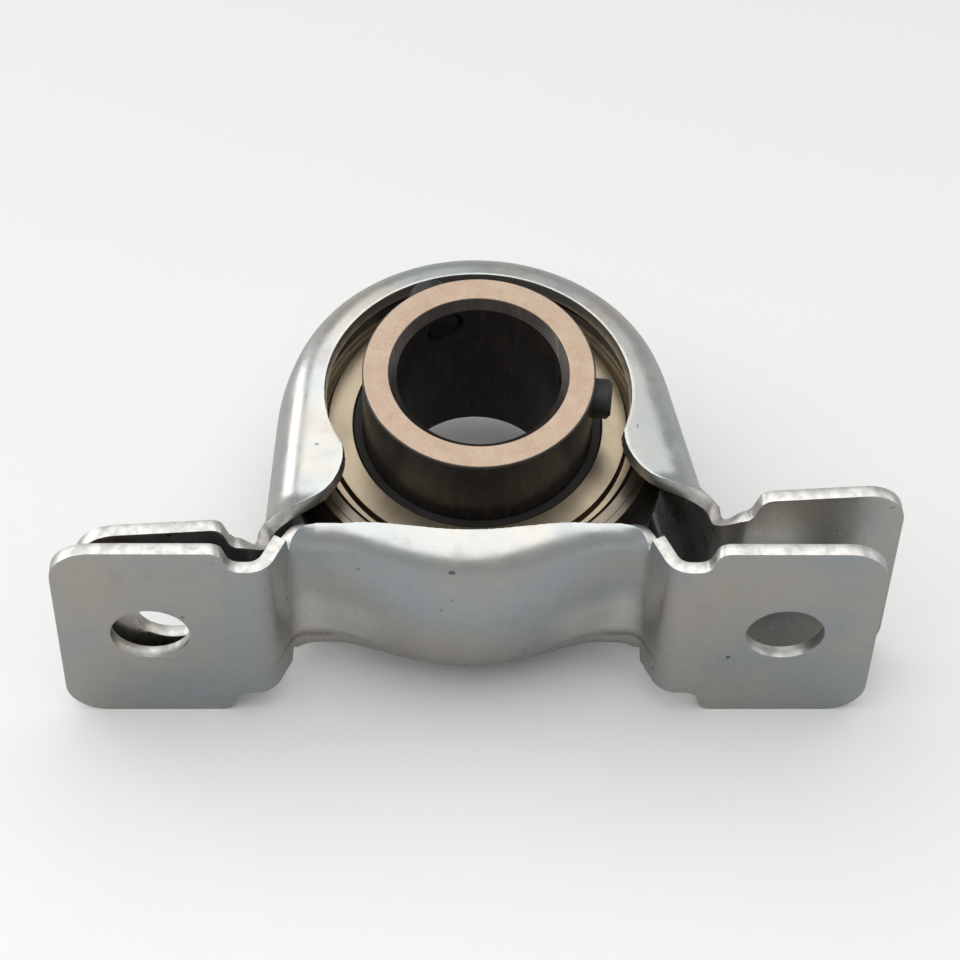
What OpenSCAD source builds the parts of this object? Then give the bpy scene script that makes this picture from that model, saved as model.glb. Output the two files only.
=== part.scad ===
// Pressed steel pillow block with a self-aligning ball bearing insert.
// X runs along the mounting feet, Y from the mounting surface to the top of the
// hoop, Z along the bore towards the set screws. All sizes are in millimetres.
// The two housing halves are drawn unbolted, with the upper one lifted and leaning.

/* [Insert] */
// Bore of the inner ring
bore_d = 20; // [17:0.5:20]
// Diameter of the ball-shaped outside of the outer ring
outer_ring_d = 47; // [46.8:0.1:47.2]
// Width of the outer ring
outer_ring_w = 14; // [12:0.5:15]
// Outside diameter of the inner ring
inner_ring_d = 28.3; // [28:0.1:28.6]
// Reach of the inner ring in front of the ball row
ring_front = 17; // [16:0.5:19]
// Reach of the inner ring behind the ball row
ring_rear = 8; // [7:0.5:9]
// Diameter of one ball
ball_d = 7.94; // [7.6:0.01:8]
// Diameter of the circle through the ball centres
pitch_d = 33.5; // [33.2:0.1:33.8]
// Lean of the insert in the hoop
insert_tilt = 4.4; // [0:0.1:5]

/* [Set screws] */
// Thread diameter of a set screw
screw_d = 5; // [4:0.5:5]
// Length of a set screw
screw_l = 6; // [5:0.1:6]
// Distance of the set screws in front of the ball row
screw_z = 13.5; // [13:0.1:14]
// Angle of the first set screw round the bore
screw_angle_1 = -6; // [-30:1:30]
// Angle of the second set screw round the bore
screw_angle_2 = 114; // [90:1:150]
// Size of the hexagon socket across its flats
hex_af = 2.5; // [2:0.1:2.5]

/* [Housing] */
// Height of the bore above the mounting surface when bolted down
shaft_h = 25.4; // [25.3:0.05:25.6]
// Thickness of the sheet steel
sheet_t = 1.6; // [1.5:0.05:1.65]
// Length over the feet
foot_length = 98; // [94:1:104]
// Depth of the feet along the bore
foot_depth = 32; // [30:0.5:34]
// Distance between the bolt holes
hole_spacing = 76; // [72:1:78]
// Diameter of the bolt holes
hole_d = 9.5; // [8:0.1:10.5]
// Radius of the outer corners of the feet
corner_r = 5; // [2:0.5:6]
// Depth of the neck between a foot and the shell
neck_depth = 24.8; // [24:0.1:25.4]

/* [Shell section] */
// Gap between the ring and its seat
seat_gap = 0.05; // [0.03:0.01:0.08]
// Half width of the ball-shaped seat
seat_half = 9; // [8.8:0.1:9.2]
// Inside radius of the rolled lips
lip_bend_r = 2.5; // [2.3:0.1:2.7]
// Radius of the free edge of the lips
lip_r = 18.7; // [18.5:0.1:18.9]
// Angle that the lips reach from the radial direction of the seat
lip_angle = 80; // [76:1:84]

/* [Upper half] */
// Height of the seat centre above the underside of the upper feet
seat_drop = 22.67; // [22.6:0.01:22.8]
// Outward lean of the legs
leg_flare = 7.6; // [7.4:0.1:8]
// Outer radius of the bend between leg and foot
leg_bend_r = 4; // [3.6:0.1:4.4]
// Distance of the rounded lobe centres from the middle
lobe_x = 24.5; // [24:0.1:25]
// Distance of the lobe centres below the seat centre
lobe_y = 9; // [8.5:0.1:9.5]
// Radius of the lobes
lobe_r = 7.6; // [7.2:0.1:7.8]
// Slope of the lobes towards the neck
lobe_slope = 31; // [28:1:34]
// Lean of the upper half at rest
lean = 3.84; // [3.8:0.01:3.9]
// Sideways offset of the upper half at rest
shift_x = 1.3; // [1.2:0.05:1.4]
// Lift of the upper half at rest
lift_y = 2.85; // [2.8:0.05:3]

/* [Lower half] */
// Height of the shoulder underside above the mounting surface
shoulder_h = 5.8; // [5.7:0.1:5.9]
// Angle of the ramps from foot to shoulder
ramp_angle = 65; // [63:1:67]
// Distance from the middle to the outside of the ramp
ramp_x = 23.8; // [23.6:0.02:23.9]
// Height at which that distance is measured
ramp_y = 3.7; // [3.6:0.1:3.8]
// Outer radius of the ramp bends
ramp_bend_r = 2.8; // [2.4:0.1:3]
// Outer radius of the turned-up shoulder edges
margin_r = 3.5; // [3.2:0.1:3.6]
// Height of the turned-up edges above the mounting surface
margin_h = 8.1; // [8:0.1:8.2]
// Half width of the flat part of the shoulders
margin_z = 8.7; // [8.5:0.1:8.8]

/* [Hidden] */
$fn = 96;
seat_r = outer_ring_d / 2 + seat_gap;
shell_r = seat_r + sheet_t;
lip_out_r = lip_bend_r + sheet_t;
seat_end = asin(seat_half / ((seat_r + shell_r) / 2));
curl_dist = shell_r - lip_out_r;
curl_x = curl_dist * cos(seat_end);
curl_z = curl_dist * sin(seat_end);
wide = 4 * foot_length;
lap = 0.01;
leg_axis_x = shell_r + leg_bend_r - sheet_t;
leg_l = (leg_axis_x * sin(leg_flare) + seat_drop - leg_bend_r) / cos(leg_flare);
bend_x = leg_axis_x * cos(leg_flare) + leg_l * sin(leg_flare);
bend_y = -seat_drop + leg_bend_r;
ramp_n = [sin(ramp_angle), cos(ramp_angle)];
ramp_d = ramp_n.x * ramp_x + ramp_n.y * ramp_y;
valley_y = ramp_bend_r;
valley_x = (ramp_d + ramp_bend_r - sheet_t - ramp_n.y * valley_y) / ramp_n.x;
crest_y = shoulder_h + sheet_t - ramp_bend_r;
crest_x = (ramp_d - ramp_bend_r - ramp_n.y * crest_y) / ramp_n.x;
pitch_r = pitch_d / 2;
ball_r = ball_d / 2;
run_gap = 0.05;
groove_r = ball_r + run_gap;
inner_r = inner_ring_d / 2;
land_r = pitch_r + 2.05;
shield_wall_r = land_r + 1;
shield_in_r = inner_r + 1.35;
shield_floor = 4.8;
shield_t = 0.45;
ring_half = outer_ring_w / 2;
ball_count = 8;
screw_in = bore_d / 2 + 0.25;
rivet_d = 1.2;

// Part of a flat ring between two angles less than half a turn apart
module arc_2d(r_in, r_out, from, to) {
    reach = 3 * r_out;
    middle = (from + to) / 2;
    intersection() {
        difference() {
            circle(r = r_out);
            circle(r = r_in);
        }
        polygon([
            [0, 0],
            [reach * cos(from), reach * sin(from)],
            [reach * cos(middle), reach * sin(middle)],
            [reach * cos(to), reach * sin(to)]
        ]);
    }
}

// Region inside the shell section, grown outwards by a distance
module round_half_2d(out, edge) {
    lip_x = curl_x + (lip_bend_r + out) * cos(lip_angle);
    lip_z = curl_z + (lip_bend_r + out) * sin(lip_angle);
    edge_z = lip_z + (lip_x - edge) / tan(lip_angle);
    far = curl_dist + lip_bend_r + out;
    polygon([
        [0, 0],
        [far * cos(seat_end), far * sin(seat_end)],
        [curl_x, curl_z],
        [lip_x, lip_z],
        [edge, edge_z],
        [0, edge_z]
    ]);
    translate([curl_x, curl_z])
        circle(r = lip_bend_r + out);
    intersection() {
        circle(r = seat_r + out);
        polygon([[0, 0], [wide, 0], [wide, wide * tan(seat_end)]]);
    }
}

// Section of the pressed sheet round the seat: x is the radius, y runs along the bore,
// and the lips reach in to the radius edge
module shell_2d(edge) {
    for (side = [0, 1])
        mirror([0, side])
            difference() {
                round_half_2d(sheet_t, edge);
                round_half_2d(0, edge);
                translate([-1, -1])
                    square([edge + 1, wide]);
            }
}

// Hollow inside the shell section, open through both mouths
module hollow_2d() {
    for (side = [0, 1])
        mirror([0, side])
            round_half_2d(0, lip_r);
    translate([0, -foot_depth / 2])
        square([lip_r, foot_depth]);
}

// Rectangle with rounded corners, one radius on each long side
module rounded_2d(x0, x1, half, r0, r1) {
    translate([x0 + r0, -half])
        square([x1 - x0 - r0 - r1, 2 * half]);
    translate([x0, -half + r0])
        square([r0 + 1, 2 * (half - r0)]);
    translate([x1 - r1 - 1, -half + r1])
        square([r1 + 1, 2 * (half - r1)]);
    for (side = [-1, 1]) {
        translate([x0 + r0, side * (half - r0)])
            circle(r = r0);
        translate([x1 - r1, side * (half - r1)])
            circle(r = r1);
    }
}

// Outline of a foot and its neck seen from above: x outwards, y along the bore
module foot_outline_2d(inner_x, neck_end) {
    fillet = (foot_depth - neck_depth) / 4;
    difference() {
        union() {
            rounded_2d(inner_x, foot_length / 2, foot_depth / 2, fillet, corner_r);
            translate([neck_end, -neck_depth / 2])
                square([inner_x + fillet - neck_end, neck_depth]);
            translate([inner_x - fillet, -neck_depth / 2 - fillet])
                square([2 * fillet, neck_depth + 2 * fillet]);
        }
        for (side = [-1, 1])
            translate([inner_x - fillet, side * (neck_depth / 2 + fillet)])
                circle(r = fillet);
        translate([hole_spacing / 2, 0])
            circle(d = hole_d);
    }
}

// Extrude a plan outline upwards through the whole height
module plan_solid() {
    rotate([-90, 0, 0])
        translate([0, 0, -wide / 2])
            linear_extrude(wide)
                children();
}

// Side view of an upper foot with its bend, about the seat centre
module upper_foot_side_2d() {
    translate([bend_x, bend_y])
        arc_2d(leg_bend_r - sheet_t, leg_bend_r, 180 + leg_flare, 270);
    translate([bend_x - lap, -seat_drop])
        square([foot_length / 2 - bend_x + lap, sheet_t]);
}

// Front outline of the bend, which narrows towards the leg: x along the bore
module upper_neck_2d() {
    neck_top = bend_y + sheet_t;
    for (side = [0, 1])
        mirror([side, 0])
            difference() {
                translate([0, -seat_drop])
                    square([foot_depth / 2, neck_top + seat_drop]);
                translate([neck_depth / 2 + 1, neck_top])
                    circle(r = leg_bend_r + 1);
            }
    translate([-foot_depth / 2, -seat_drop])
        square([foot_depth, sheet_t]);
}

module upper_foot() {
    intersection() {
        translate([0, 0, -foot_depth / 2])
            linear_extrude(foot_depth)
                upper_foot_side_2d();
        plan_solid()
            foot_outline_2d(bend_x + 1, 0);
        rotate([0, 90, 0])
            linear_extrude(foot_length)
                upper_neck_2d();
    }
}

// What is left of the lips of the upper half, seen along the bore
module lobe_2d() {
    edge_x = sqrt(lip_r * lip_r - (lobe_y - 1) * (lobe_y - 1));
    tip = [lobe_x - lobe_r * sin(lobe_slope), -lobe_y - lobe_r * cos(lobe_slope)];
    far = [tip.x + wide * cos(lobe_slope), tip.y - wide * sin(lobe_slope)];
    difference() {
        union() {
            translate([lobe_x, -lobe_y])
                circle(r = lobe_r);
            polygon([
                [0, wide], [0, 0], [edge_x, 0], [edge_x, -lobe_y],
                [lobe_x, -lobe_y], tip, far, [far.x, wide]
            ]);
        }
        circle(r = lip_r);
    }
}

// Right side of the upper half about its seat centre, feet level
module upper_side() {
    foot_lap = 0.3;
    lobe_reach = 4.5;
    intersection() {
        rotate([0, 0, leg_flare]) {
            rotate_extrude(angle = 120)
                shell_2d(lip_r);
            rotate([90, 0, 0])
                linear_extrude(leg_l + foot_lap)
                    shell_2d(lip_r - lobe_reach);
        }
        union() {
            translate([0, -wide / 2, -seat_half])
                cube([wide, wide, 2 * seat_half]);
            translate([0, 0, -foot_depth / 2])
                linear_extrude(foot_depth)
                    lobe_2d();
        }
    }
    upper_foot();
}

module upper_shell() {
    for (side = [0, 1])
        mirror([side, 0, 0])
            upper_side();
}

// Place the upper half where it lies at rest
module at_hoop() {
    translate([shift_x, shaft_h + lift_y, 0])
        children();
}

// Side view of a lower foot, ramp and shoulder
module lower_side_2d() {
    ramp_l = (crest_y - valley_y) * sin(ramp_angle) + (valley_x - crest_x) * cos(ramp_angle);
    translate([valley_x - lap, 0])
        square([foot_length / 2 - valley_x + lap, sheet_t]);
    translate([valley_x, valley_y])
        arc_2d(ramp_bend_r - sheet_t, ramp_bend_r, 270 - ramp_angle, 270);
    translate([valley_x, valley_y])
        rotate(270 - ramp_angle)
            translate([ramp_bend_r - sheet_t, -ramp_l - lap])
                square([sheet_t, ramp_l + 2 * lap]);
    translate([crest_x, crest_y])
        arc_2d(ramp_bend_r - sheet_t, ramp_bend_r, 90 - ramp_angle, 90);
    translate([0, shoulder_h])
        square([crest_x + lap, sheet_t]);
}

// Cross-section of the turned-up edge of a shoulder: x along the bore
module margin_2d() {
    translate([margin_z, shoulder_h + margin_r])
        arc_2d(margin_r - sheet_t, margin_r, 270, 360);
}

// What lies outside the turned-up edge
module margin_waste_2d() {
    difference() {
        translate([margin_z, 0])
            square([foot_depth, shoulder_h + margin_r]);
        translate([margin_z, shoulder_h + margin_r])
            circle(r = margin_r);
    }
}

// Front view of the shoulder with its rounded end
module shoulder_front_2d() {
    end_r = 4;
    end_x = crest_x - 2.5;
    square([end_x, margin_h]);
    translate([end_x - lap, 0])
        square([end_r, margin_h - end_r]);
    translate([end_x, margin_h - end_r])
        circle(r = end_r);
}

// Extrude a cross-section drawn with x along the bore, on both sides of the middle
module both_margins(length) {
    for (side = [0, 1])
        mirror([0, 0, side])
            rotate([0, 90, 0])
                linear_extrude(length)
                    children();
}

module lower_side() {
    difference() {
        intersection() {
            translate([0, 0, -foot_depth / 2])
                linear_extrude(foot_depth)
                    lower_side_2d();
            plan_solid()
                foot_outline_2d(valley_x + 2.5, 0);
        }
        both_margins(crest_x)
            margin_waste_2d();
    }
    intersection() {
        both_margins(crest_x + 2)
            margin_2d();
        translate([0, 0, -foot_depth / 2])
            linear_extrude(foot_depth)
                shoulder_front_2d();
    }
}

module lower_shell() {
    top = shoulder_h + sheet_t;
    difference() {
        for (side = [0, 1])
            mirror([side, 0, 0])
                lower_side();
        translate([0, shaft_h, 0])
            rotate_extrude()
                hollow_2d();
    }
    difference() {
        intersection() {
            translate([0, shaft_h, 0])
                rotate_extrude()
                    shell_2d(lip_r);
            translate([-seat_r, 0, -foot_depth / 2])
                cube([2 * seat_r, margin_h, foot_depth]);
        }
        translate([-seat_r, top, -margin_z])
            cube([2 * seat_r, foot_depth, 2 * margin_z]);
    }
}

module lower_housing() {
    color([0.72, 0.73, 0.72])
        lower_shell();
}

module upper_housing() {
    color([0.78, 0.79, 0.78])
        at_hoop()
            rotate([0, 0, lean])
                upper_shell();
}

// Place a piece of the insert, drawn about the ball row with its bore along Z
module at_insert() {
    at_hoop()
        rotate([insert_tilt, 0, 0])
            children();
}

// Half section of the outer ring in front of the ball row
module outer_ring_half_2d() {
    face_out = sqrt(outer_ring_d * outer_ring_d / 4 - ring_half * ring_half);
    difference() {
        intersection() {
            circle(d = outer_ring_d);
            square([outer_ring_d, ring_half]);
        }
        translate([-1, -1])
            square([land_r + 1, ring_half + 2]);
        translate([-1, shield_floor])
            square([shield_wall_r + 1, ring_half]);
        translate([shield_wall_r - lap, ring_half - 0.6])
            rotate(45)
                square(2);
        translate([pitch_r, 0])
            circle(r = groove_r);
        translate([face_out - 0.9, ring_half - 0.12])
            square([0.25, 1]);
    }
}

module outer_ring() {
    color([0.42, 0.41, 0.40])
        at_insert()
            rotate_extrude() {
                outer_ring_half_2d();
                mirror([0, 1])
                    outer_ring_half_2d();
            }
}

// Section of the inner ring
module inner_ring_2d() {
    edge = 0.25;
    lead = 1.05;
    difference() {
        polygon([
            [bore_d / 2, -ring_rear + lead],
            [bore_d / 2 + lead, -ring_rear],
            [inner_r - edge, -ring_rear],
            [inner_r, -ring_rear + edge],
            [inner_r, ring_front - edge],
            [inner_r - edge, ring_front],
            [bore_d / 2 + lead, ring_front],
            [bore_d / 2, ring_front - lead]
        ]);
        translate([pitch_r, 0])
            circle(r = groove_r);
    }
}

// Place something along the axis of a set screw, with its start on the bore axis
module at_screw(angle) {
    translate([0, 0, screw_z])
        rotate([0, 0, angle])
            rotate([0, 90, 0])
                children();
}

module inner_ring() {
    color([0.70, 0.62, 0.56])
        at_insert()
            difference() {
                rotate_extrude()
                    inner_ring_2d();
                for (angle = [screw_angle_1, screw_angle_2])
                    at_screw(angle)
                        cylinder(d = screw_d, h = inner_ring_d);
            }
}

// A set screw with a hexagon socket and a cup point
module set_screw(angle) {
    chamfer = 0.5;
    body_r = screw_d / 2 - run_gap;
    socket_r = hex_af / 2 / cos(30);
    color([0.16, 0.15, 0.15])
        at_insert()
            at_screw(angle)
                translate([0, 0, screw_in])
                    difference() {
                        rotate_extrude()
                            polygon([
                                [0, 0.4], [body_r - chamfer - 0.4, 0], [body_r - chamfer, 0],
                                [body_r, chamfer], [body_r, screw_l - chamfer],
                                [body_r - chamfer, screw_l], [0, screw_l]
                            ]);
                        translate([0, 0, screw_l - hex_af])
                            cylinder(r = socket_r, h = hex_af + 1, $fn = 6);
                    }
}

// Centre of a ball by its number from 0
module at_ball(index) {
    rotate([0, 0, index * 360 / ball_count])
        translate([pitch_r, 0, 0])
            children();
}

module ball(index) {
    color([0.82, 0.83, 0.84])
        at_insert()
            at_ball(index)
                sphere(d = ball_d);
}

// Pressed half of the ribbon cage, in front of the ball row
module cage_half() {
    strip_t = 0.5;
    strip_w = 2.4;
    pocket_r = ball_r + 0.1;
    difference() {
        translate([0, 0, 0.02])
            rotate_extrude()
                translate([pitch_r - strip_w / 2, 0])
                    square([strip_w, strip_t]);
        for (index = [0 : ball_count - 1]) {
            at_ball(index)
                cylinder(r = pocket_r, h = ball_d, center = true);
            rotate([0, 0, 180 / ball_count])
                at_ball(index)
                    cylinder(d = rivet_d, h = ball_d, center = true);
        }
    }
    for (index = [0 : ball_count - 1])
        at_ball(index)
            intersection() {
                difference() {
                    sphere(r = pocket_r + strip_t);
                    sphere(r = pocket_r);
                }
                translate([-strip_w / 2, -ball_d, 0.02])
                    cube([strip_w, 2 * ball_d, ball_d]);
            }
}

module cage_front() {
    color([0.55, 0.55, 0.54])
        at_insert()
            cage_half();
}

module cage_rear() {
    color([0.55, 0.55, 0.54])
        at_insert()
            mirror([0, 0, 1])
                cage_half();
}

module cage_rivets() {
    head_d = 1.9;
    head_t = 0.35;
    head_z = 0.54;
    color([0.62, 0.61, 0.60])
        at_insert()
            for (index = [0 : ball_count - 1])
                rotate([0, 0, 180 / ball_count])
                    at_ball(index) {
                        cylinder(d = rivet_d - 0.04, h = 2 * head_z + 0.1, center = true);
                        for (side = [0, 1])
                            mirror([0, 0, side])
                                translate([0, 0, head_z])
                                    cylinder(d1 = head_d, d2 = head_d - 0.6, h = head_t);
                    }
}

// Stepped sheet ring that closes the front of the ball row
module shield() {
    floor_z = shield_floor + run_gap;
    face_z = floor_z + 0.8;
    step_r = land_r - 0.7;
    rim_r = shield_wall_r - run_gap;
    slant = 0.4;
    skew = 0.3;
    rotate_extrude()
        polygon([
            [shield_in_r, face_z], [step_r, face_z], [step_r + slant, floor_z], [rim_r, floor_z],
            [rim_r, floor_z + shield_t], [step_r + slant + skew, floor_z + shield_t],
            [step_r + skew, face_z + shield_t], [shield_in_r, face_z + shield_t]
        ]);
}

module front_shield() {
    color([0.74, 0.68, 0.57])
        at_insert()
            shield();
}

module rear_shield() {
    color([0.74, 0.68, 0.57])
        at_insert()
            mirror([0, 0, 1])
                shield();
}

// Rubber ring behind the inner edge of a shield, with a lip at the inner ring
module seal() {
    back_z = shield_floor + 0.1;
    face_z = shield_floor + run_gap + 0.78;
    touch_r = inner_r + 0.08;
    back_r = land_r - 1.6;
    rotate_extrude()
        polygon([
            [touch_r, back_z + 0.35], [inner_r + 0.6, back_z], [back_r, back_z],
            [back_r, face_z], [shield_in_r - 0.1, face_z], [shield_in_r - 0.3, face_z + 0.3],
            [touch_r, face_z + 0.1]
        ]);
}

module front_seal() {
    color([0.08, 0.07, 0.07])
        at_insert()
            seal();
}

module rear_seal() {
    color([0.08, 0.07, 0.07])
        at_insert()
            mirror([0, 0, 1])
                seal();
}

lower_housing();
upper_housing();
outer_ring();
inner_ring();
cage_front();
cage_rear();
cage_rivets();
ball(0);  // ball_1
ball(1);  // ball_2
ball(2);  // ball_3
ball(3);  // ball_4
ball(4);  // ball_5
ball(5);  // ball_6
ball(6);  // ball_7
ball(7);  // ball_8
front_shield();
rear_shield();
front_seal();
rear_seal();
set_screw(screw_angle_1);  // set_screw_1
set_screw(screw_angle_2);  // set_screw_2
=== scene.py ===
import math
import bpy
import bmesh
from mathutils import Matrix, Vector


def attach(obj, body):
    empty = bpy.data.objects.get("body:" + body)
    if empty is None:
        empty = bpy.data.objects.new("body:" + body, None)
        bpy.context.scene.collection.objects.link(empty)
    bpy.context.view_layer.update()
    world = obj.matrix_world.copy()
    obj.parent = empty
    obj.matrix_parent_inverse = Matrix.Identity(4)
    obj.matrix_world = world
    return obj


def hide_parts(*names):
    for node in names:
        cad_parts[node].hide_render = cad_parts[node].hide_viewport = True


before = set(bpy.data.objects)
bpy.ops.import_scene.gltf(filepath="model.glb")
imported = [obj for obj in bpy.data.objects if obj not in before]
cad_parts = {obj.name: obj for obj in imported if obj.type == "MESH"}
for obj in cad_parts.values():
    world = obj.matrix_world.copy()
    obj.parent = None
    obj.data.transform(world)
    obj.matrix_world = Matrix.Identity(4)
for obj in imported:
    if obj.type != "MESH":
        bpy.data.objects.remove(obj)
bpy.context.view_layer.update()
mm = 0.001
white = (1.0, 1.0, 1.0)

# Lengths are in millimetres and angles in degrees, unless a note says otherwise
place = {                        # where the upper half and its insert stand, as in the CAD
    "seatHeight": 25.4,
    "hoopShift": 1.3,
    "hoopLift": 2.85,
    "hoopLean": 3.84,
    "insertTilt": 4.4,
    "floorLevel": -16.0,
}
hoopCentre = Vector((place["hoopShift"], place["seatHeight"] + place["hoopLift"], 0.0))
tilt = math.radians(place["insertTilt"])
boreAxis = Vector((0.0, -math.sin(tilt), math.cos(tilt)))


# Shader helpers

class Field:                     # a socket that can stand in sums and products
    def __init__(self, graph, socket):
        self.graph = graph
        self.socket = socket

    def maths(self, kind, first, second):
        return self.graph.node("ShaderNodeMath", {"operation": kind}, {0: first, 1: second})[0]

    def __add__(self, other): return self.maths("ADD", self, other)
    def __radd__(self, other): return self.maths("ADD", other, self)
    def __sub__(self, other): return self.maths("SUBTRACT", self, other)
    def __rsub__(self, other): return self.maths("SUBTRACT", other, self)
    def __mul__(self, other): return self.maths("MULTIPLY", self, other)
    def __rmul__(self, other): return self.maths("MULTIPLY", other, self)


def pick(fields, name):
    return [field for field in fields if field.socket.name == name][0]


class Graph:                     # the nodes of one material, or of the world
    def __init__(self, owner):
        owner.use_nodes = True
        self.owner = owner
        self.tree = owner.node_tree
        self.tree.nodes.clear()

    def node(self, kind, settings=None, sockets=None):
        made = self.tree.nodes.new(kind)
        for key, setting in (settings or {}).items():
            setattr(made, key, setting)
        for key, value in (sockets or {}).items():
            target = made.inputs[key]
            if isinstance(value, Field):
                self.tree.links.new(value.socket, target)
            elif target.type == "RGBA":
                target.default_value = (*value, 1.0)
            else:
                target.default_value = value
        return [Field(self, socket) for socket in made.outputs]

    def where(self):
        return pick(self.node("ShaderNodeTexCoord"), "Object")

    def stretch(self, coords, scale):
        return self.node("ShaderNodeMapping", None, {"Vector": coords, "Scale": scale})[0]

    def split(self, coords):
        return self.node("ShaderNodeSeparateXYZ", None, {0: coords})

    def dot(self, vector, direction):
        return pick(self.node("ShaderNodeVectorMath", {"operation": "DOT_PRODUCT"},
                              {0: vector, 1: tuple(direction)}), "Value")

    def size(self, value):
        return self.node("ShaderNodeMath", {"operation": "ABSOLUTE"}, {0: value})[0]

    def noise(self, coords, scale, detail=4.0, roughness=0.55):
        return self.node("ShaderNodeTexNoise", None, {
            "Vector": coords, "Scale": scale, "Detail": detail, "Roughness": roughness})[0]

    def ramp(self, value, low, high):           # 0 below low, 1 above high
        return self.node("ShaderNodeMapRange", {"interpolation_type": "SMOOTHSTEP"},
                         {"Value": value, "From Min": low, "From Max": high})[0]

    def rise(self, value, stops):               # a ramp with its stops in millimetres
        return self.ramp(value, stops[0] * mm, stops[1] * mm)

    def fall(self, value, stops):
        return 1.0 - self.rise(value, stops)

    def blend(self, factor, first, second):     # 6 and 7 are the Mix node's two colours
        made = self.node("ShaderNodeMix", {"data_type": "RGBA"}, {0: factor, 6: first, 7: second})
        return [field for field in made if field.socket.type == "RGBA"][0]

    def bump(self, height, strength, distance):
        return self.node("ShaderNodeBump", None, {
            "Height": height, "Strength": strength, "Distance": distance})[0]

    def finish(self, sockets):
        shader = self.node("ShaderNodeBsdfPrincipled", None, sockets)[0]
        self.node("ShaderNodeOutputMaterial", None, {"Surface": shader})
        return self.owner


def newFinish(name):
    return Graph(bpy.data.materials.new(name))


# Finishes

zincLook = {
    "cool": (0.53, 0.565, 0.575), "warm": (0.64, 0.60, 0.54), "dull": (0.40, 0.41, 0.41),
    "spots": (0.10, 0.10, 0.10),
    "blotchScale": 60.0, "cloudScale": 300.0, "speckScale": 750.0,
    "streakScale": (2600.0, 2600.0, 130.0),      # along the bore the streaks are long
    "wideShare": 0.28,                           # scale of the wide streaks against the fine
    "blotchRange": (0.36, 0.66), "cloudRange": (0.52, 0.86), "streakRange": (0.55, 0.9),
    "dotRange": (0.22, 0.27), "roughRange": (0.3, 0.8),
    "cloudDull": 0.5, "streakDull": 0.25, "dotDark": 0.75,
    "roughLow": 0.20, "roughHigh": 0.38, "streakRough": 0.10,
    "streakBump": 0.55, "wideBump": 0.5, "cloudBump": 0.7, "dotPit": 0.5,
    "bumpStrength": 0.22, "bumpMetres": 0.00006,
}

shoulderHighlightAndShade = {                   # painted highlight fans and a painted crease shade on both shoulders of the lower half
    "fanStart": (8.0, 14.0), "fanStop": (19.0, 22.0), "fanBack": (-7.6, -6.4),
    "fanFront": (-2.5, 2.5), "fanTop": (6.5, 7.0), "fanStrength": 0.75,
    "creaseZ": -8.0, "creaseWidth": (0.0, 0.8), "creaseStart": (15.5, 17.5),
    "creaseStop": (21.5, 24.0), "creaseStrength": 0.35, "creaseGrit": 0.3,
    "gritScale": 1400.0, "gritDetail": 4.0, "gritRoughness": 0.6, "gritRange": (0.2, 0.8),
    "paintedHighlight": (0.93, 0.90, 0.84), "paintedCreaseShade": (0.16, 0.14, 0.12),
}


def paintShoulderHighlightAndShade(g, at, base, paintedLight):
    x, y, z = g.split(at)
    out = g.size(x)
    # fan: a painted highlight that lightens each shoulder towards a pale colour
    fan = g.rise(out, paintedLight["fanStart"]) * g.fall(out, paintedLight["fanStop"])
    fan = fan * g.rise(z, paintedLight["fanBack"]) * g.fall(z, paintedLight["fanFront"])
    fan = fan * g.fall(y, paintedLight["fanTop"])
    base = g.blend(fan * paintedLight["fanStrength"], base, paintedLight["paintedHighlight"])
    # crease: painted shade that darkens a line along the shoulder crease, made uneven by grit noise
    crease = g.fall(g.size(z - paintedLight["creaseZ"] * mm), paintedLight["creaseWidth"])
    crease = crease * g.rise(out, paintedLight["creaseStart"]) * g.fall(out, paintedLight["creaseStop"])
    grit = g.noise(at, paintedLight["gritScale"], paintedLight["gritDetail"], paintedLight["gritRoughness"])
    grit = g.ramp(grit, *paintedLight["gritRange"]) * paintedLight["creaseGrit"]
    return g.blend(crease * (paintedLight["creaseStrength"] + grit), base, paintedLight["paintedCreaseShade"])


def zincFinish(name, look, paintedLight=None):
    g = newFinish(name)
    at = g.where()
    wideScale = tuple(v * look["wideShare"] for v in look["streakScale"])
    blotch = g.noise(at, look["blotchScale"], 5.0)
    cloud = g.noise(at, look["cloudScale"], 6.0, 0.65)
    streak = g.noise(g.stretch(at, look["streakScale"]), 1.0, 4.0, 0.6)
    wide = g.noise(g.stretch(at, wideScale), 1.0, 2.0)
    speck = g.noise(at, look["speckScale"], 2.0, 0.4)
    dots = 1.0 - g.ramp(speck, *look["dotRange"])
    dulled = g.ramp(cloud, *look["cloudRange"]) * look["cloudDull"]
    dulled = dulled + g.ramp(streak, *look["streakRange"]) * look["streakDull"]
    base = g.blend(g.ramp(blotch, *look["blotchRange"]), look["cool"], look["warm"])
    base = g.blend(dulled, base, look["dull"])
    base = g.blend(dots * look["dotDark"], base, look["spots"])
    # the lower half gets the painted shoulder highlights and the painted crease shade
    if paintedLight:
        base = paintShoulderHighlightAndShade(g, at, base, paintedLight)
    worn = g.ramp(cloud, *look["roughRange"]) * (look["roughHigh"] - look["roughLow"])
    height = streak * look["streakBump"] + wide * look["wideBump"]
    height = height + cloud * look["cloudBump"] - dots * look["dotPit"]
    return g.finish({
        "Base Color": base, "Metallic": 1.0,
        "Roughness": look["roughLow"] + worn + streak * look["streakRough"],
        "Normal": g.bump(height, look["bumpStrength"], look["bumpMetres"])})


edgeLook = {                     # where the sheet was cut
    "bright": (0.70, 0.69, 0.66), "torn": (0.50, 0.50, 0.49), "tearScale": (900.0, 900.0, 900.0),
    "tearRange": (0.35, 0.7), "rough": 0.30, "tearRough": 0.2,
    "bumpStrength": 0.2, "bumpMetres": 0.00008,
}


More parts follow.
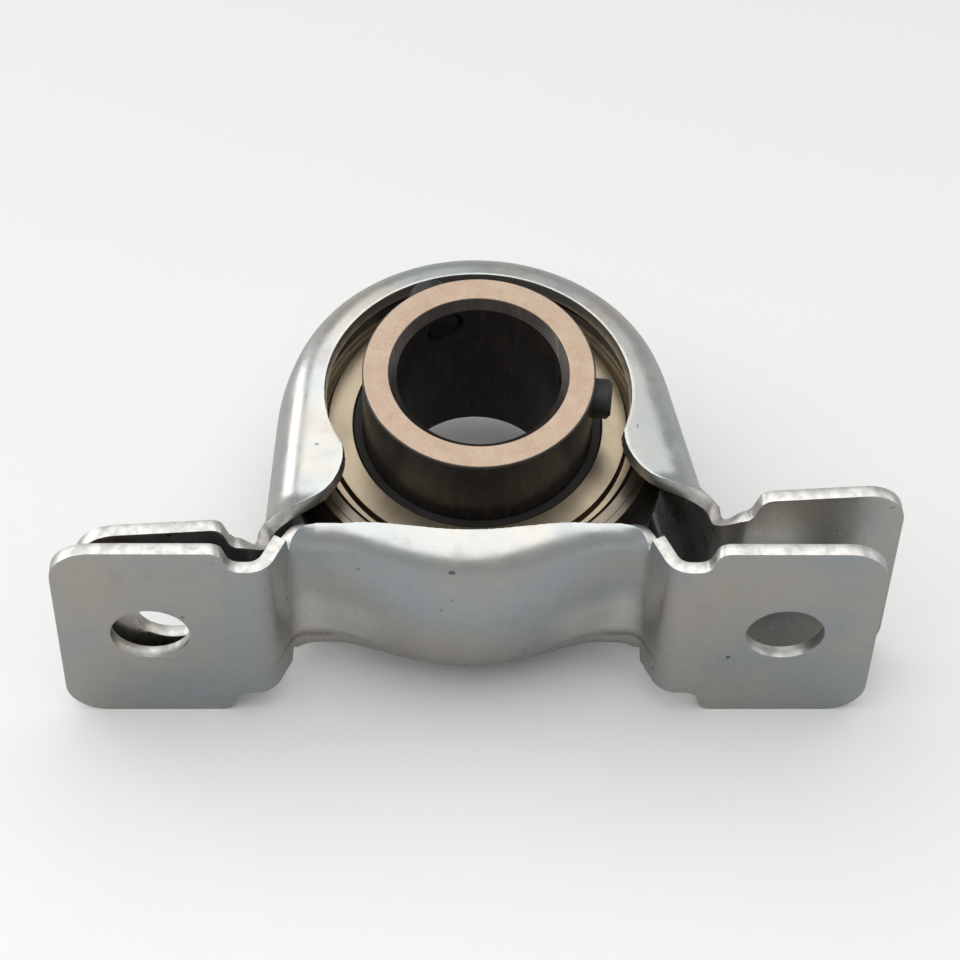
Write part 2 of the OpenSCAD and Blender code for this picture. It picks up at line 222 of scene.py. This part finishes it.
def cutEdgeFinish(look):
    g = newFinish("cutSheetEdge")
    tear = g.noise(g.stretch(g.where(), look["tearScale"]), 1.0, 5.0)
    return g.finish({
        "Base Color": g.blend(g.ramp(tear, *look["tearRange"]), look["bright"], look["torn"]),
        "Metallic": 1.0, "Roughness": look["rough"] + tear * look["tearRough"],
        "Normal": g.bump(tear, look["bumpStrength"], look["bumpMetres"])})


ringLook = {                     # ground end faces, dark outside and bore
    "face": ((0.37, 0.275, 0.205), (0.44, 0.345, 0.27)),
    "dark": ((0.038, 0.033, 0.030), (0.080, 0.062, 0.051)),
    "frontFace": (16.90, 16.97), "rearFace": (-7.97, -7.90),     # along the bore
    "latheScale": (500.0, 500.0, 6000.0), "streakScale": (1500.0, 260.0, 260.0),
    "grainScale": 2600.0, "smearScale": 420.0,
    "smearShare": 0.6, "faceRange": (0.35, 0.65), "darkRange": (0.45, 0.8),
    "rough": 0.30, "grainRough": 0.12, "faceRough": 0.04, "darkMetallic": 0.55,
    "latheBump": 0.5, "grainBump": 0.4, "bumpStrength": 0.12, "bumpMetres": 0.00005,
}


def ringFinish(look):
    g = newFinish("innerRingSteel")
    at = g.where()
    along = g.dot(at, boreAxis) - hoopCentre.dot(boreAxis) * mm
    face = g.rise(along, look["frontFace"]) + g.fall(along, look["rearFace"])
    lathe = g.noise(g.stretch(at, look["latheScale"]), 1.0, 3.0)
    grain = g.noise(at, look["grainScale"])
    smear = g.noise(at, look["smearScale"], 6.0, 0.7)
    streaks = g.noise(g.stretch(at, look["streakScale"]), 1.0, 3.0)
    cloudy = smear * look["smearShare"] + grain * (1.0 - look["smearShare"])
    faceColour = g.blend(g.ramp(cloudy, *look["faceRange"]), *look["face"])
    darkColour = g.blend(g.ramp(streaks, *look["darkRange"]), *look["dark"])
    height = lathe * look["latheBump"] + grain * look["grainBump"]
    return g.finish({
        "Base Color": g.blend(face, darkColour, faceColour),
        "Metallic": look["darkMetallic"] + face * (1.0 - look["darkMetallic"]),
        "Roughness": look["rough"] + grain * look["grainRough"] - face * look["faceRough"],
        "Normal": g.bump(height, look["bumpStrength"], look["bumpMetres"])})


turnedLook = {
    "smearScale": 180.0, "grainScale": 3000.0, "smearRange": (0.35, 0.7),
    "grainRough": 0.12, "bumpStrength": 0.15, "bumpMetres": 0.00005,
}


def turnedFinish(name, light, dark, metallic, rough, strength=turnedLook["bumpStrength"]):
    g = newFinish(name)
    at = g.where()
    smear = g.noise(at, turnedLook["smearScale"], 5.0)
    grain = g.noise(at, turnedLook["grainScale"])
    return g.finish({
        "Base Color": g.blend(g.ramp(smear, *turnedLook["smearRange"]), light, dark),
        "Metallic": metallic, "Roughness": rough + grain * turnedLook["grainRough"],
        "Normal": g.bump(grain, strength, turnedLook["bumpMetres"])})


upperZinc = dict(zincLook, warm=(0.66, 0.625, 0.56), cool=(0.56, 0.59, 0.60))
finishes = {
    "zincLower": zincFinish("zincSheetLower", zincLook, shoulderHighlightAndShade),
    "zincUpper": zincFinish("zincSheetUpper", upperZinc),
    "cutEdge": cutEdgeFinish(edgeLook),
    "ring": ringFinish(ringLook),
}
turned = {                       # name, two colours, metallic, roughness, bump if not the usual one
    "outerRing": ("outerRingSteel", (0.26, 0.225, 0.18), (0.15, 0.13, 0.11), 1.0, 0.24),
    "shield": ("shieldSheet", (0.42, 0.35, 0.25), (0.32, 0.27, 0.20), 1.0, 0.24),
    "seal": ("sealRubber", (0.018, 0.017, 0.016), (0.030, 0.028, 0.026), 0.0, 0.55, 0.3),
    "screw": ("blackScrewSteel", (0.014, 0.013, 0.012), (0.028, 0.025, 0.022), 0.3, 0.42),
    "ball": ("ballSteel", (0.72, 0.73, 0.74), (0.64, 0.65, 0.66), 1.0, 0.08, 0.02),
    "cage": ("cageSheet", (0.45, 0.44, 0.42), (0.36, 0.35, 0.34), 1.0, 0.30),
}
for finishName, values in turned.items():
    finishes[finishName] = turnedFinish(*values)
print("finishes made:", len(finishes))


# Pressed sheets. Each is a grid of points on the middle of the sheet: a section runs from
# its rear edge to its front edge, and the rows follow the part from the left foot to the right.

sheet = {
    "thickness": 1.6,
    "seatRadius": 24.35,         # to the middle of the sheet
    "seatHalf": 9.22,            # half the seat's length along the section
    "lipBend": 3.3,
    "lipAngle": 80.0,
    "lipEdge": 18.7,             # radius of the lip's edge
    "neckHalf": 12.4,
    "footHalf": 16.0,
    "footEnd": 49.0,
    "cornerRadius": 5.0,
    "fillet": 1.8,
    "holeRadius": 4.75,
    "holeX": 38.0,
    "edgeRound": 0.16,
    "edgeAngle": 55.0,           # sharper edges than this are rounded
    "smoothAngle": 38.0,
    "across": 30,                # steps from the middle of a section to its edge
    "cornerSteps": 12,
    "filletSteps": 10,
    "holeSides": 96,
    "cutterLength": 12.0,
    "walkStep": 0.02,
    "walkLimit": 40.0,
    "leastDepth": 0.02,
}


def lerp(a, b, t):
    return a + (b - a) * t


def ease(t):
    t = max(0.0, min(1.0, t))
    return t * t * (3.0 - 2.0 * t)


def spread(points):              # the same number of points from any section
    count = sheet["across"]
    return [points[round(i * (len(points) - 1) / count)] for i in range(count + 1)]


def halfSection(curve, flat, bend, angle, depthEnd, zEnd):
    # curve over the flat length, then a lip of radius bend, until it is deep or wide enough
    step = sheet["walkStep"]
    steepest = max(math.radians(angle), curve * flat)
    depth = z = run = 0.0
    path = [(0.0, 0.0)]
    while run < sheet["walkLimit"]:
        turned = curve * run if run < flat else min(curve * flat + (run - flat) / bend, steepest)
        depth += math.sin(turned) * step
        z += math.cos(turned) * step
        run += step
        path.append((depth, min(z, zEnd)))
        deepEnough = depthEnd is not None and run > flat * 0.9 and depth >= depthEnd
        if z >= zEnd or deepEnough:
            break
    return spread(path)


def flatSection(halfWidth):
    return halfSection(0, sheet["walkLimit"], 1.0, 0, None, halfWidth)


def roundOff(radius, t):         # how far a quarter circle has come in at t of its length
    return radius * (1.0 - math.sqrt(max(0.0, 1.0 - t * t)))


def footHalfWidth(x, innerX, neck):
    fillet = sheet["fillet"]
    corner = sheet["cornerRadius"]
    cornerStart = sheet["footEnd"] - corner
    if x <= innerX - fillet:
        return neck
    if x <= innerX:
        return neck + roundOff(fillet, (x - innerX + fillet) / fillet)
    if x <= innerX + fillet:
        return sheet["footHalf"] - roundOff(fillet, 1.0 - (x - innerX) / fillet)
    if x > cornerStart:
        return sheet["footHalf"] - roundOff(corner, (x - cornerStart) / corner)
    return sheet["footHalf"]


def footStops(startX, innerX):   # where the rows of a foot lie, closer at its curves
    fillet = sheet["fillet"]
    corner = sheet["cornerRadius"]
    cornerStart = sheet["footEnd"] - corner
    count = sheet["filletSteps"]
    turns = sheet["cornerSteps"]
    stops = [startX + 0.3]
    stops += [innerX - fillet + i * 2 * fillet / count for i in range(count + 1)]
    stops += [lerp(innerX + fillet, cornerStart, i / turns) for i in range(1, turns + 1)]
    stops += [cornerStart + corner * math.sin(math.pi / 2 * i / turns) for i in range(1, turns + 1)]
    return [stop for stop in stops if stop > startX + 0.05]


def addRow(rows, point, inward, half):
    def at(depth, z):
        return (point[0] + inward[0] * depth, point[1] + inward[1] * depth, z)
    rows.append([at(depth, -z) for depth, z in reversed(half)]
                + [at(depth, z) for depth, z in half[1:]])


def addFoot(rows, startX, innerX, footY, inward):
    for x in footStops(startX, innerX):
        half = flatSection(footHalfWidth(x, innerX, sheet["neckHalf"]))
        addRow(rows, (x, footY), inward, half)


def bothSides(rows):
    # rows run from the middle to the right end, and the left side mirrors them
    left = [[(-x, y, z) for x, y, z in row] for row in rows[1:]]
    return list(reversed(left)) + rows


def skin(bm, grid, move, offset):               # one face of the sheet
    last = len(grid) - 1
    made = []
    for r, row in enumerate(grid):
        line = []
        for c, point in enumerate(row):
            along = grid[min(r + 1, last)][c] - grid[max(r - 1, 0)][c]
            across = row[min(c + 1, len(row) - 1)] - row[max(c - 1, 0)]
            normal = along.cross(across).normalized()
            line.append(bm.verts.new(move @ ((point + normal * offset) * mm)))
        made.append(line)
    for r in range(last):
        for c in range(len(made[0]) - 1):
            bm.faces.new((made[r][c], made[r][c + 1], made[r + 1][c + 1], made[r + 1][c]))
    return made


def sheetMesh(name, rows, move, finish):
    grid = [[Vector(point) for point in row] for row in rows]
    half = sheet["thickness"] / 2
    bm = bmesh.new()
    upper = skin(bm, grid, move, half)
    lower = skin(bm, grid, move, -half)
    lastRow, lastPoint = len(grid) - 1, len(grid[0]) - 1
    edge = [(r, 0) for r in range(lastRow)]
    edge += [(lastRow, c) for c in range(lastPoint)]
    edge += [(r, lastPoint) for r in range(lastRow, 0, -1)]
    edge += [(0, c) for c in range(lastPoint, 0, -1)]
    for (r, c), (nextR, nextC) in zip(edge, edge[1:] + edge[:1]):
        rim = bm.faces.new((upper[r][c], upper[nextR][nextC], lower[nextR][nextC], lower[r][c]))
        rim.material_index = 1
    bmesh.ops.recalc_face_normals(bm, faces=bm.faces)
    mesh = bpy.data.meshes.new(name)
    bm.to_mesh(mesh)
    bm.free()
    mesh.materials.append(finishes[finish])
    mesh.materials.append(finishes["cutEdge"])
    return mesh


def holeCutter(name, x, y, move):
    radius = sheet["holeRadius"] * mm
    bm = bmesh.new()
    bmesh.ops.create_cone(bm, cap_ends=True, segments=sheet["holeSides"], radius1=radius,
                          radius2=radius, depth=sheet["cutterLength"] * mm)
    upright = Matrix.Rotation(math.radians(90), 4, "X")
    bm.transform(move @ Matrix.Translation(Vector((x, y, 0)) * mm) @ upright)
    mesh = bpy.data.meshes.new(name)
    bm.to_mesh(mesh)
    bm.free()
    mesh.materials.append(finishes["cutEdge"])
    cutter = bpy.data.objects.new(name, mesh)
    bpy.context.collection.objects.link(cutter)
    return cutter


def smoothByAngle(mesh, degrees):
    bm = bmesh.new()
    bm.from_mesh(mesh)
    for face in bm.faces:
        face.smooth = True
    limit = math.radians(degrees)
    for edge in bm.edges:
        edge.smooth = len(edge.link_faces) == 2 and edge.calc_face_angle(0.0) < limit
    bm.to_mesh(mesh)
    bm.free()


def sheetPiece(name, rows, move, body, node, finish):
    piece = bpy.data.objects.new(name, sheetMesh(name, rows, move, finish))
    bpy.context.collection.objects.link(piece)
    footY = rows[-1][0][1]
    cutters = [holeCutter(name + "Hole", side * sheet["holeX"], footY, move) for side in (-1, 1)]
    for cutter in cutters:
        hole = piece.modifiers.new("hole", "BOOLEAN")
        hole.operation = "DIFFERENCE"
        hole.solver = "EXACT"
        hole.object = cutter
        hole.material_mode = "TRANSFER"
    bevel = piece.modifiers.new("edgeRound", "BEVEL")
    bevel.width = sheet["edgeRound"] * mm
    bevel.segments = 2
    bevel.limit_method = "ANGLE"
    bevel.angle_limit = math.radians(sheet["edgeAngle"])
    bpy.context.view_layer.update()
    shaped = piece.evaluated_get(bpy.context.evaluated_depsgraph_get())
    mesh = bpy.data.meshes.new_from_object(shaped)
    piece.modifiers.clear()
    piece.data = mesh
    for cutter in cutters:
        bpy.data.objects.remove(cutter)
    smoothByAngle(mesh, sheet["smoothAngle"])
    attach(piece, body)
    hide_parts(node)
    low, high = ([round(pickEnd(v.co[i] for v in mesh.vertices) / mm, 2) for i in range(3)]
                 for pickEnd in (min, max))
    print(name, "faces:", len(mesh.polygons), "from", low, "to", high)
    return piece


# Upper half: hoop, legs and feet about the seat centre, leaning as in the CAD
hoop = {
    "drop": 22.67,               # from the seat centre to the feet
    "flare": 7.6,                # of the legs
    "bendRadius": 3.2, "legBend": 4.0,
    "lobeX": 24.5, "lobeY": 9.0, "lobeRadius": 7.6, "lobeSlope": 31.0, "lobeTurn": 1.0,
    "lobeReach": 12.0, "lobeStep": 0.05,
    "neckTop": 8.6,              # half width of the leg under the lip
    "lipGone": 0.3,              # a lip lower than this has ended
    "uncurlStart": 17.0,         # along the leg, where its section starts to flatten
    "uncurlPast": 1.5,
    "footInset": 1.0,
    "archSteps": 36, "legSteps": 46, "bendSteps": 12,
    "noEdge": 99.0,
}


def insideLobe(x, y):
    if math.hypot(x, y) < sheet["lipEdge"]:
        return False
    if math.hypot(x - hoop["lobeX"], y + hoop["lobeY"]) < hoop["lobeRadius"]:
        return True
    if y > -hoop["lobeY"]:
        edgeX = math.sqrt(sheet["lipEdge"] ** 2 - (hoop["lobeY"] - hoop["lobeTurn"]) ** 2)
        return y > 0 or x > edgeX
    slope = math.radians(hoop["lobeSlope"])
    tipX = hoop["lobeX"] - hoop["lobeRadius"] * math.sin(slope)
    tipY = -hoop["lobeY"] - hoop["lobeRadius"] * math.cos(slope)
    return x > tipX and y > tipY - (x - tipX) * math.tan(slope)


def lobeDepth(point, inward):
    step = hoop["lobeStep"]
    depth = 0.0
    while depth < hoop["lobeReach"]:
        probe = depth + step
        if not insideLobe(point[0] + inward[0] * probe, point[1] + inward[1] * probe):
            break
        depth += step
    return depth


def lipSection(curve, depthEnd, zEnd):
    return halfSection(curve, sheet["seatHalf"], sheet["lipBend"], sheet["lipAngle"],
                       depthEnd, zEnd)


def upperRows():
    rows = []
    seatR = sheet["seatRadius"]
    drop, legBend, bendRadius = hoop["drop"], hoop["legBend"], hoop["bendRadius"]
    flare = math.radians(hoop["flare"])
    axisX = seatR + sheet["thickness"] / 2 + legBend - sheet["thickness"]
    legLength = (axisX * math.sin(flare) + drop - legBend) / math.cos(flare)

    for i in range(hoop["archSteps"] + 1):
        a = lerp(math.pi / 2, flare, i / hoop["archSteps"])
        way = (math.cos(a), math.sin(a))
        half = lipSection(1 / seatR, seatR - sheet["lipEdge"], hoop["noEdge"])
        addRow(rows, (seatR * way[0], seatR * way[1]), (-way[0], -way[1]), half)

    out = (math.cos(flare), math.sin(flare))
    down = (math.sin(flare), -math.cos(flare))
    start = (seatR * out[0], seatR * out[1])
    inward = (-out[0], -out[1])
    uncurlLength = legLength + hoop["uncurlPast"] - hoop["uncurlStart"]
    for i in range(1, hoop["legSteps"] + 1):
        t = legLength * i / hoop["legSteps"]
        point = (start[0] + down[0] * t, start[1] + down[1] * t)
        uncurled = ease((t - hoop["uncurlStart"]) / uncurlLength)
        depthEnd = max(lobeDepth(point, inward), sheet["leastDepth"])
        zEnd = hoop["noEdge"] if depthEnd > hoop["lipGone"] else hoop["neckTop"]
        addRow(rows, point, inward, lipSection((1 - uncurled) / seatR, depthEnd, zEnd))

    bendX = axisX * math.cos(flare) + legLength * math.sin(flare)
    bendY = -drop + legBend
    for i in range(1, hoop["bendSteps"] + 1):
        t = i / hoop["bendSteps"]
        a = lerp(math.pi + flare, 1.5 * math.pi, t)
        way = (math.cos(a), math.sin(a))
        half = flatSection(lerp(hoop["neckTop"], sheet["neckHalf"], ease(t)))
        addRow(rows, (bendX + bendRadius * way[0], bendY + bendRadius * way[1]), way, half)
    addFoot(rows, bendX, bendX + hoop["footInset"], -drop + sheet["thickness"] / 2, (0, -1))
    return bothSides(rows)


lean = Matrix.Rotation(math.radians(place["hoopLean"]), 4, "Z")
upperShell = sheetPiece("upperShell", upperRows(), Matrix.Translation(hoopCentre * mm) @ lean,
                        "upper_half", "upper_housing", "zincUpper")

# Lower half: bowl, shoulders, ramps and feet on the mounting surface
cradle = {
    "shoulder": 6.6,             # height of the shelf's middle
    "blend": 3.4,                # softness where bowl and shelf meet
    "bowlEnd": 18.2,
    "crest": (19.65, 3.60), "crestBend": 3.0,
    "valley": (25.93, 3.40), "valleyBend": 2.6,
    "rampAngle": 65.0,
    "marginFlat": 8.7, "marginBend": 2.7, "marginAngle": 78.0, "marginDepth": 1.5,
    "rimMiddle": 6.72, "rimHeight": 8.1, "rimSpan": 15.0,
    "uncurlStart": 17.6, "uncurlLength": 7.5, "uncurlBend": 7.0, "uncurlStep": 0.04,
    "footInset": 2.6,
    "bowlSteps": 60, "shelfSteps": 6, "crestSteps": 10, "rampSteps": 8, "valleySteps": 10,
    "walkStep": 0.05, "walkLimit": 20.0,
}


def walk(turnAt, moving):        # depth and z along a section, by length
    step = cradle["walkStep"]
    depth = z = run = 0.0
    points = [(0.0, 0.0)]
    while run < cradle["walkLimit"]:
        if moving(depth):
            depth += math.sin(turnAt(run)) * step
            z += math.cos(turnAt(run)) * step
        run += step
        points.append((depth, z))
    return points


def bowlTurn(run):
    seatR, half = sheet["seatRadius"], sheet["seatHalf"]
    turned = run / seatR if run < half else half / seatR + (run - half) / sheet["lipBend"]
    return min(turned, math.radians(sheet["lipAngle"]))


def shelfTurn(run):
    if run < cradle["marginFlat"]:
        return 0.0
    turned = (run - cradle["marginFlat"]) / cradle["marginBend"]
    return min(turned, math.radians(cradle["marginAngle"]))


def bowlRow(x, bowl, shelf):
    # the sheet follows whichever of bowl and shelf is lower, with a soft blend between them
    soft = cradle["blend"]
    rimY = lerp(cradle["rimMiddle"], cradle["rimHeight"], ease(x / cradle["rimSpan"]))
    line = []
    for (depth, bowlZ), (lift, shelfZ) in zip(bowl, shelf):
        r = sheet["seatRadius"] - depth
        bowlY = place["seatHeight"] - math.sqrt(max(0.0, r * r - x * x))
        shelfY = cradle["shoulder"] + lift
        h = max(0.0, min(1.0, 0.5 + 0.5 * (shelfY - bowlY) / soft))
        line.append((lerp(shelfY, bowlY, h) - soft * h * (1 - h), lerp(shelfZ, bowlZ, h)))
        if line[-1][0] >= rimY:
            break
    picked = spread(line)
    return [(x, y, -z) for y, z in reversed(picked)] + [(x, y, z) for y, z in picked[1:]]


def marginSection(x, extra=0.0):                # its turned-up edge runs out towards the ramp
    gone = ease((x - cradle["uncurlStart"]) / cradle["uncurlLength"] + extra)
    depthEnd = max(sheet["leastDepth"], cradle["marginDepth"] * (1 - gone))
    bend = lerp(cradle["marginBend"], cradle["uncurlBend"], gone)
    angle = lerp(cradle["marginAngle"], 0.0, gone)
    return halfSection(0, cradle["marginFlat"], bend, angle, depthEnd, sheet["neckHalf"])


def lowerRows():
    rows = []
    bowl = walk(bowlTurn, lambda depth: sheet["seatRadius"] - depth > sheet["lipEdge"])
    shelf = walk(shelfTurn, lambda depth: True)
    crestX, crestY = cradle["crest"]
    valleyX, valleyY = cradle["valley"]
    crestBend, valleyBend = cradle["crestBend"], cradle["valleyBend"]
    slope = math.radians(90 - cradle["rampAngle"])
    way = (math.cos(slope), math.sin(slope))    # square to the ramp
    neck = flatSection(sheet["neckHalf"])

    for i in range(cradle["bowlSteps"] + 1):
        rows.append(bowlRow(cradle["bowlEnd"] * i / cradle["bowlSteps"], bowl, shelf))
    for i in range(1, cradle["shelfSteps"] + 1):
        x = lerp(cradle["bowlEnd"], crestX, i / cradle["shelfSteps"])
        addRow(rows, (x, cradle["shoulder"]), (0, 1), marginSection(x))
    for i in range(1, cradle["crestSteps"] + 1):
        a = lerp(math.pi / 2, slope, i / cradle["crestSteps"])
        out = (math.cos(a), math.sin(a))
        x = crestX + crestBend * out[0]
        half = marginSection(x, i * cradle["uncurlStep"])
        addRow(rows, (x, crestY + crestBend * out[1]), out, half)
    top = (crestX + crestBend * way[0], crestY + crestBend * way[1])
    foot = (valleyX - valleyBend * way[0], valleyY - valleyBend * way[1])
    for i in range(1, cradle["rampSteps"] + 1):
        t = i / cradle["rampSteps"]
        addRow(rows, (lerp(top[0], foot[0], t), lerp(top[1], foot[1], t)), way, neck)
    for i in range(1, cradle["valleySteps"] + 1):
        a = lerp(math.pi + slope, 1.5 * math.pi, i / cradle["valleySteps"])
        out = (math.cos(a), math.sin(a))
        point = (valleyX + valleyBend * out[0], valleyY + valleyBend * out[1])
        addRow(rows, point, (-out[0], -out[1]), neck)
    addFoot(rows, valleyX, valleyX + cradle["footInset"], sheet["thickness"] / 2, (0, 1))
    return bothSides(rows)


lowerShell = sheetPiece("lowerShell", lowerRows(), Matrix.Identity(4),
                        "lower_half", "lower_housing", "zincLower")

# The insert keeps its CAD shapes and gets its finishes
nodeFinish = {
    "outer_ring": "outerRing", "inner_ring": "ring",
    "front_shield": "shield", "rear_shield": "shield", "front_seal": "seal", "rear_seal": "seal",
    "set_screw_1": "screw", "set_screw_2": "screw",
    "cage_front": "cage", "cage_rear": "cage", "cage_rivets": "cage",
}
nodeFinish.update({"ball_%d" % number: "ball" for number in range(1, 9)})
for nodeName, finishName in nodeFinish.items():
    for materialSlot in bpy.data.objects[nodeName].material_slots:
        materialSlot.material = finishes[finishName]
print("dressed CAD pieces:", len(nodeFinish))

# Floor
floorLook = {
    "size": 3.0,                                # metres
    "front": (0.88, 0.882, 0.885), "back": (0.70, 0.703, 0.707),
    "fade": (-120.0, 200.0),
    "mirrored": (0.43, 0.44, 0.45),             # what the metal sees of it
    "grainScale": 300.0, "grain": 0.1, "rough": 0.9,
}
bpy.ops.mesh.primitive_plane_add(size=floorLook["size"], location=(0, 0, place["floorLevel"] * mm))
floor = bpy.context.object
floor.name = "studioFloor"
g = newFinish("paleFloor")
at = g.where()
grain = g.noise(at, floorLook["grainScale"], 2.0) * floorLook["grain"]
faded = g.rise(pick(g.split(at), "Y"), floorLook["fade"])
shade = g.blend(faded, floorLook["front"], floorLook["back"])
shade = g.blend(grain, shade, floorLook["back"])
glossyRay = pick(g.node("ShaderNodeLightPath"), "Is Glossy Ray")
shade = g.blend(glossyRay, shade, floorLook["mirrored"])
floor.data.materials.append(g.finish({
    "Base Color": shade, "Roughness": floorLook["rough"], "Specular IOR Level": 0.0}))
print("floor laid")

# Light
worldLook = {"seen": (0.86, 0.86, 0.86), "fill": 0.40}
lamps = {                                       # metres and watts
    "overheadBox": {"spot": (-0.1, 0.15, 0.85), "target": (0, 0.1, 0), "size": (1.8, 1.5),
                    "power": 10.5, "colour": (1.0, 0.99, 0.97)},
    "leftPanel": {"spot": (-0.65, 0.25, 0.12), "target": (0, 0.02, 0), "size": (0.8, 0.5),
                  "power": 2.8, "colour": (1.0, 0.985, 0.96)},
    "rightPanel": {"spot": (0.70, 0.20, 0.20), "target": (0, 0.02, 0), "size": (0.7, 0.4),
                   "power": 0.8, "colour": (0.96, 0.98, 1.0)},
}
world = bpy.data.worlds.new("studioWorld")
bpy.context.scene.world = world
g = Graph(world)
cameraRay = pick(g.node("ShaderNodeLightPath"), "Is Camera Ray")
fill = g.node("ShaderNodeBackground", None, {"Color": white, "Strength": worldLook["fill"]})[0]
seen = g.node("ShaderNodeBackground", None, {"Color": worldLook["seen"]})[0]
backdrop = g.node("ShaderNodeMixShader", None, {0: cameraRay, 1: fill, 2: seen})[0]
g.node("ShaderNodeOutputWorld", None, {"Surface": backdrop})

for lampName, lamp in lamps.items():
    data = bpy.data.lights.new(lampName, "AREA")
    data.shape = "RECTANGLE"
    data.size, data.size_y = lamp["size"]
    data.energy = lamp["power"]
    data.color = lamp["colour"]
    box = bpy.data.objects.new(lampName, data)
    bpy.context.collection.objects.link(box)
    box.location = lamp["spot"]
    aim = Vector(lamp["target"]) - Vector(lamp["spot"])
    box.rotation_euler = aim.to_track_quat("-Z", "Y").to_euler()
print("lamps lit:", len(lamps))

# Camera
view = {
    "azimuth": -1.990, "elevation": 51.860, "roll": 1.659, "distance": 370.424,
    "target": (1.738, 25.4, -2.406), "lens": 110.58, "sensor": 36.0, "nearest": 10.0,
}
azimuth, elevation, roll = (math.radians(view[key]) for key in ("azimuth", "elevation", "roll"))
back = Vector((math.sin(azimuth) * math.cos(elevation), -math.cos(azimuth) * math.cos(elevation),
               math.sin(elevation)))
level = Vector((0, 0, 1)).cross(back).normalized()
upright = back.cross(level)
right = level * math.cos(roll) + upright * math.sin(roll)
up = -level * math.sin(roll) + upright * math.cos(roll)
camera = bpy.data.objects.new("photoCamera", bpy.data.cameras.new("photoCamera"))
bpy.context.collection.objects.link(camera)
camera.data.lens = view["lens"]
camera.data.sensor_width = view["sensor"]
camera.data.clip_start = view["nearest"] * mm
spot = (Vector(view["target"]) + back * view["distance"]) * mm
turn = Matrix((right, up, back)).transposed().to_4x4()
camera.matrix_world = Matrix.Translation(spot) @ turn
bpy.context.scene.camera = camera
bpy.context.scene.view_settings.view_transform = "Standard"
print("camera placed")


print("scene ready")
